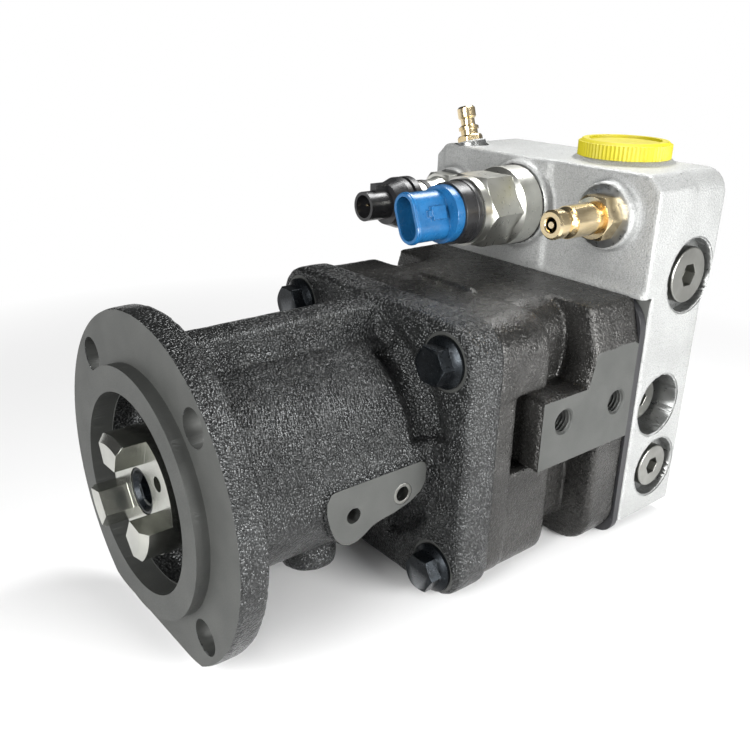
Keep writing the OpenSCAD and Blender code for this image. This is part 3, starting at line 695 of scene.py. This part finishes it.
def cover_zones():
    """Machined regions of the end cover, one solid each."""
    yield slab("front", (180, -FAR, -FAR), (PLATE_END.x, FAR, PLATE_END.z))
    yield rod(PLATE_END.x - 1, 250, 56)  # bearing seat and oil ways
    yield rod(52, 130, 16, upright(PORT.x, PORT.y))
    yield slab("port_face", (PORT.x - 26, PORT.y - 26, PORT_FACE_Z), (PORT.x + 26, PORT.y + 26, 140))
    yield rod(30, 90, 20.5, far_side(SUCTION.x, 0, SUCTION.z))
    yield rod(-14, 14, 8.9, top_test())
    for node, r in PLUG_BORES.items():
        plug = centre_mm(node)
        yield rod(-35, 3, r, near_side(plug.x, COVER_LOW.y, plug.z))
    for y, z in SCREWS:
        yield rod(PLATE_END.x - 1, 262, 6, at(0, y, z))
        yield rod(246, 275, 9.2, at(0, y, z))
    for node, (face_x, r) in BOSSES.items():
        low, high = box_mm(node)
        place = at(0, (low.y + high.y) / 2, (low.z + high.z) / 2)
        yield rod(face_x - 30, face_x, r, place)
        yield rod(face_x - 1, high.x + 4, 10, place)


def end_cover():
    """The cast aluminium cover at the rear, with its ports and the seats of what screws into it."""
    piece = cast_blank("end_cover", "cover_casting", COVER_SKIN, 1.1, 0.3, 4, [(16, 0.25)])
    machine(piece, "end_cover", list(cover_zones()), COVER_CUT)
    shade(piece, CAST_SHARP)
    return hold(piece, "end_cover")


drive_housing()
pump_housing()
end_cover()


# ---------------------------------------------------------------- fine parts

# Width of the rounded edges of the parts that show, by node
EDGE_WIDTHS = {
    "cover_plate": 0.4, "housing_bolts": 0.35, "cover_screws": 0.4, "bracket_sleeve": 0.25,
    "drain_plug": 0.3, "drive_coupling": 0.45, "coupling_screw": 0.25, "sensor_body": 0.3,
    "sensor_ring": 0.35, "sensor_connector": 0.35, "sensor_pins": 0.1, "probe_body": 0.25,
    "probe_ring": 0.3, "probe_connector": 0.35, "probe_pins": 0.1, "front_test_point": 0.22,
    "front_test_pin": 0.15, "top_test_point": 0.18, "top_test_pin": 0.12, "port_cap": 0.14,
    "upper_plug": 0.35, "lower_plug": 0.35, "deep_plug": 0.35,
}


def fine_part(node, width):
    """A copy of a CAD node with its edges rounded, as tools and moulds leave them."""
    piece = cad_copy(node, node + "_fine", frame["nodes"][node].data.materials[0])
    shape = bmesh.new()
    shape.from_mesh(piece.data)
    bmesh.ops.dissolve_limit(
        shape, angle_limit=math.radians(0.6), use_dissolve_boundaries=False, verts=shape.verts,
        edges=shape.edges,
    )
    shape.to_mesh(piece.data)
    shape.free()
    change = piece.modifiers.new("edges", "BEVEL")
    change.width = width * MM
    change.segments = 2
    change.limit_method = "ANGLE"
    change.angle_limit = math.radians(32)
    bake(piece)
    shade(piece, 40)
    normals = piece.modifiers.new("normals", "WEIGHTED_NORMAL")
    normals.keep_sharp = True
    bake(piece)
    return hold(piece, node)


for node, width in EDGE_WIDTHS.items():
    fine_part(node, width)


# ---------------------------------------------------------------- stage, light and camera


FLOOR_REACH = 4000  # from the shaft to the floor's edges
# Direction that the room's soft glow comes from
BRIGHT_SIDE = (0.35, -0.85, 0.3)
CAMERA_PLACE = (-116.2, -276.0, 165.4)
CAMERA_AIM = (0.5917, 0.7145, -0.3732)
CAMERA_ROLL = math.radians(1.6)


def paper():
    """Pale matte paper that fades to pure white far from the pump."""
    look = Look("paper")
    tone = look.mix(look.noise(120, 3), (0.80, 0.80, 0.80), (0.84, 0.84, 0.84))
    material = look.finish(Base_Color=tone, Roughness=0.8, Normal=look.bump(look.noise(1.2, 2), 0.02))
    offset = look.node("VectorMath", {0: look.where, 1: MIDDLE * MM}, operation="SUBTRACT")
    reach = look.node("VectorMath", {0: offset}, "Value", operation="LENGTH")
    far = look.ramp(reach, 0.16, 0.5)
    white = look.node("Emission", {"Color": (1, 1, 1), "Strength": 1.0})
    shown = look.node("MixShader", {0: far, 1: look.shader.outputs[0], 2: white})
    look.links.new(shown, look.nodes["Material Output"].inputs["Surface"])
    return material


def floor():
    """A sheet of paper just under the pump."""
    signs = [(-1, -1), (1, -1), (1, 1), (-1, 1)]
    corners = [(sx * FLOOR_REACH * MM, sy * FLOOR_REACH * MM, (FLOOR_Z - 0.3) * MM) for sx, sy in signs]
    mesh = bpy.data.meshes.new("floor")
    mesh.from_pydata(corners, [], [(0, 1, 2, 3)])
    mesh.materials.append(paper())
    link("floor", mesh)


def area_light(name, place, target, size, power):
    """A soft rectangular lamp, pointed at target; places and size in millimetres, power in watts."""
    lamp = bpy.data.lights.new(name, "AREA")
    lamp.shape = "RECTANGLE"
    lamp.size = size[0] * MM
    lamp.size_y = size[1] * MM
    lamp.energy = power
    holder = bpy.data.objects.new(name, lamp)
    bpy.context.scene.collection.objects.link(holder)
    holder.location = Vector(place) * MM
    holder.rotation_euler = (Vector(target) - Vector(place)).to_track_quat("-Z", "Y").to_euler()


def room():
    """A room that lights the pump mostly from the near side, and looks white to the camera."""
    world = bpy.data.worlds.new("studio")
    world.use_nodes = True
    nodes, links = world.node_tree.nodes, world.node_tree.links
    ray = nodes.new("ShaderNodeTexCoord").outputs["Generated"]
    bright_side = nodes.new("ShaderNodeVectorMath")
    bright_side.operation = "DOT_PRODUCT"
    bright_side.inputs[1].default_value = Vector(BRIGHT_SIDE).normalized()
    links.new(ray, bright_side.inputs[0])
    glow = nodes.new("ShaderNodeMapRange")
    glow.inputs["From Min"].default_value = -0.3
    glow.inputs["To Min"].default_value = 0.06
    glow.inputs["To Max"].default_value = 0.32
    links.new(bright_side.outputs["Value"], glow.inputs["Value"])
    seen = nodes.new("ShaderNodeLightPath").outputs["Is Camera Ray"]
    strength = nodes.new("ShaderNodeMapRange")
    strength.inputs["To Max"].default_value = 1.0
    links.new(seen, strength.inputs["Value"])
    links.new(glow.outputs[0], strength.inputs["To Min"])
    links.new(strength.outputs[0], nodes["Background"].inputs["Strength"])
    nodes["Background"].inputs["Color"].default_value = (1, 1, 1, 1)
    bpy.context.scene.world = world


def lamps():
    """Large soft lamps over the near side, above the end cover and ahead of the drive end."""
    area_light("key", (240, -640, 130), MIDDLE, (380, 300), 8.6)
    area_light("top", (340, 60, 400), (230, 0, 90), (200, 200), 2.2)
    area_light("front", (-560, -220, 240), MIDDLE, (300, 500), 9)


def camera():
    """Stands in front of the drive end, on the near side, looking slightly down."""
    lens = bpy.data.cameras.new("camera")
    lens.lens = 41.0
    lens.sensor_width = 36.0
    lens.clip_start = 0.01
    holder = bpy.data.objects.new("camera", lens)
    bpy.context.scene.collection.objects.link(holder)
    holder.location = Vector(CAMERA_PLACE) * MM
    roll = Matrix.Rotation(CAMERA_ROLL, 4, "Z").to_quaternion()
    holder.rotation_mode = "QUATERNION"
    holder.rotation_quaternion = Vector(CAMERA_AIM).to_track_quat("-Z", "Y") @ roll
    bpy.context.scene.camera = holder


floor()
room()
lamps()
camera()
bpy.context.scene.view_settings.view_transform = "Standard"
